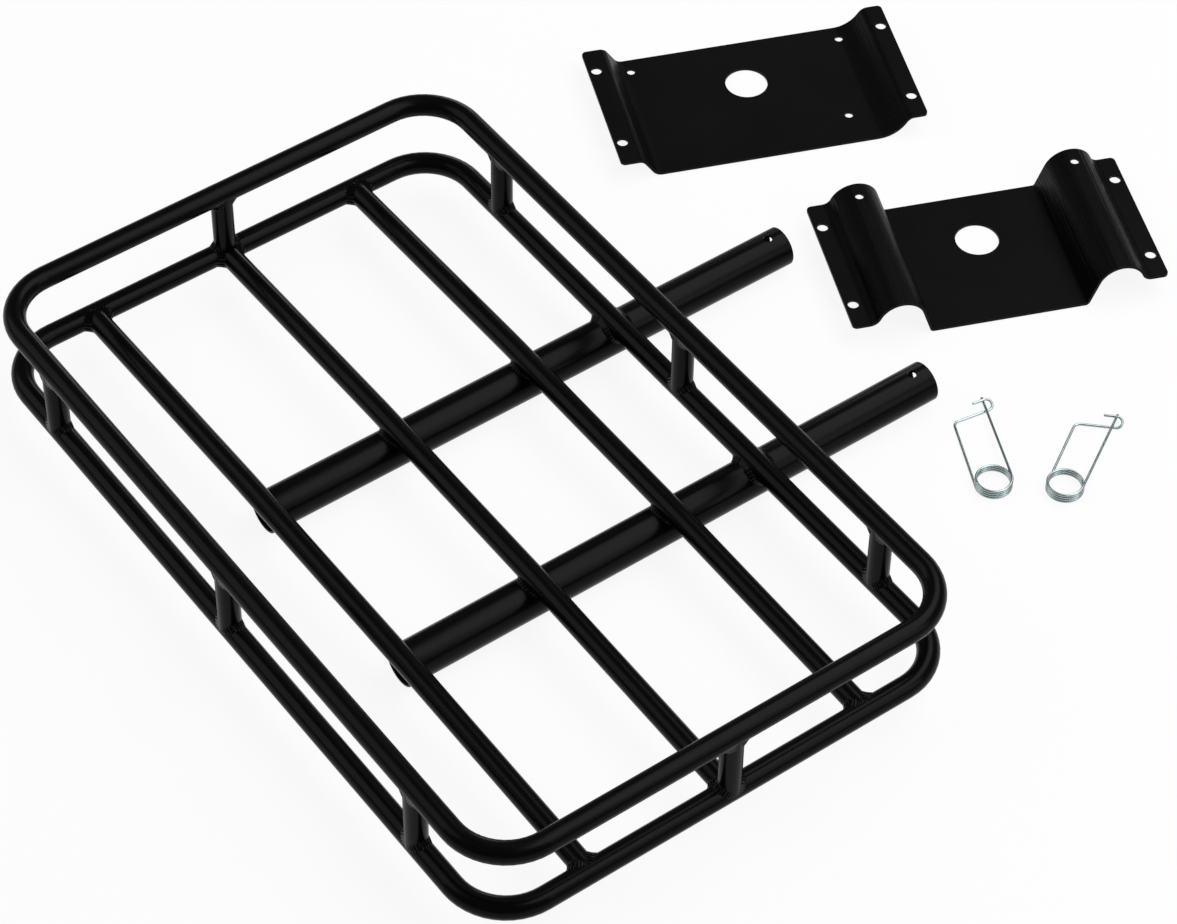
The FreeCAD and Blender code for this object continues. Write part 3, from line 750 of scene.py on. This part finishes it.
class RACK_OT_weld_floor_bars(bpy.types.Operator):
    """Weld beads round both ends of every floor bar"""

    bl_idname = "rack.weld_floor_bars"
    bl_label = "Weld the floor bars"

    def execute(self, context):
        settings = context.scene.rack
        height = centre_of("lower_rail").z
        radius = tube_radius()
        low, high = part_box("lower_rail")
        runs = []
        for node in FLOOR_BARS:
            y = centre_of(node).y
            for x, side in ((low.x + radius, 1), (high.x - radius, -1)):
                foot = Vector((x, y, height))
                runs.append(crossing_bead(foot, Y, X, side, radius, settings, settings.bar_leg, 1.0))
        coat = powder_coat("floor_bar_weld_coat", settings, BEAD_GLOSS, BEAD_GRAIN)
        new_piece("floor_bar_welds", ring_mesh("floor_bar_welds", runs), coat)
        return {"FINISHED"}


class RACK_OT_weld_slide_tubes(bpy.types.Operator):
    """Weld beads where the floor bars and the rail lie in the slide tubes"""

    bl_idname = "rack.weld_slide_tubes"
    bl_label = "Weld the slide tubes"

    def execute(self, context):
        settings = context.scene.rack
        radius = tube_radius()
        rail_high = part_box("lower_rail")[1]
        rail = Round(Vector((0.0, rail_high.y - radius, centre_of("lower_rail").z)), X, radius)
        runs = []
        for node in SLIDE_TUBES:
            low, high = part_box(node)
            half = (high.x - low.x) / 2
            tube = Round(Vector((low.x + half, 0.0, low.z + half)), Y, half)
            for bar in FLOOR_BARS:
                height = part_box(bar)[1].z - radius
                lying = Round(Vector((0.0, centre_of(bar).y, height)), X, radius)
                start = low.y + END_GAP if bar == "floor_bar_outer" else None
                runs.append(saddle_bead(tube, lying, settings, start))
            runs.append(saddle_bead(tube, rail, settings))
        coat = powder_coat("slide_tube_weld_coat", settings, BEAD_GLOSS, BEAD_GRAIN)
        new_piece("slide_tube_welds", ring_mesh("slide_tube_welds", runs), coat)
        return {"FINISHED"}


class RACK_OT_spring_clips(bpy.types.Operator):
    """The two coiled wire clips"""

    bl_idname = "rack.spring_clips"
    bl_label = "Bend the spring clips"

    def execute(self, context):
        settings = context.scene.rack
        path = clip_path(settings)
        for node, (x, y, yaw) in zip(CLIPS, CLIP_PLACES):
            turn = Matrix.Translation((x, y, 0.0)) @ Matrix.Rotation(math.radians(yaw), 4, "Z")
            sections = wire_sections([turn @ point for point in path], settings.wire_radius)
            name = node + "_wire"
            zinc = zinc_wire(node + "_zinc", settings)
            piece = new_piece(name, ring_mesh(name, [(sections, False)]), zinc)
            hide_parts(node)
        return {"FINISHED"}


class RACK_OT_studio(bpy.types.Operator):
    """Camera, soft boxes, plain grey world and pale floor"""

    bl_idname = "rack.studio"
    bl_label = "Set up the studio"

    def execute(self, context):
        scene = context.scene
        scene.view_settings.view_transform = "Standard"
        build_camera(scene, scene.studio)
        build_lamps(scene)
        build_world(scene, scene.studio)
        build_floor(scene, scene.studio)
        return {"FINISHED"}


class RACK_PT_panel(bpy.types.Panel):
    """The rack's pieces and its studio"""

    bl_idname = "RACK_PT_panel"
    bl_label = "Hitch cargo rack"
    bl_space_type = "VIEW_3D"
    bl_region_type = "UI"
    bl_category = "Rack"

    def draw(self, context):
        for group in (context.scene.rack, context.scene.studio):
            for name in group.bl_rna.properties.keys():
                if name not in ("rna_type", "name"):
                    self.layout.prop(group, name)
        for step in STEPS:
            self.layout.operator(step.bl_idname)


STEPS = (
    RACK_OT_coat_tubes, RACK_OT_coat_plates, RACK_OT_weld_posts, RACK_OT_weld_floor_bars,
    RACK_OT_weld_slide_tubes, RACK_OT_spring_clips, RACK_OT_studio,
)
CLASSES = (RackSettings, StudioSettings) + STEPS + (RACK_PT_panel,)


def register():
    for cls in CLASSES:
        bpy.utils.register_class(cls)
    bpy.types.Scene.rack = bpy.props.PointerProperty(type=RackSettings)
    bpy.types.Scene.studio = bpy.props.PointerProperty(type=StudioSettings)


def unregister():
    del bpy.types.Scene.studio
    del bpy.types.Scene.rack
    for cls in reversed(CLASSES):
        bpy.utils.unregister_class(cls)


def main():
    register()
    bpy.ops.rack.coat_tubes()
    bpy.ops.rack.coat_plates()
    bpy.ops.rack.weld_posts()
    bpy.ops.rack.weld_floor_bars()
    bpy.ops.rack.weld_slide_tubes()
    bpy.ops.rack.spring_clips()
    bpy.ops.rack.studio()


if __name__ == "__main__":
    main()
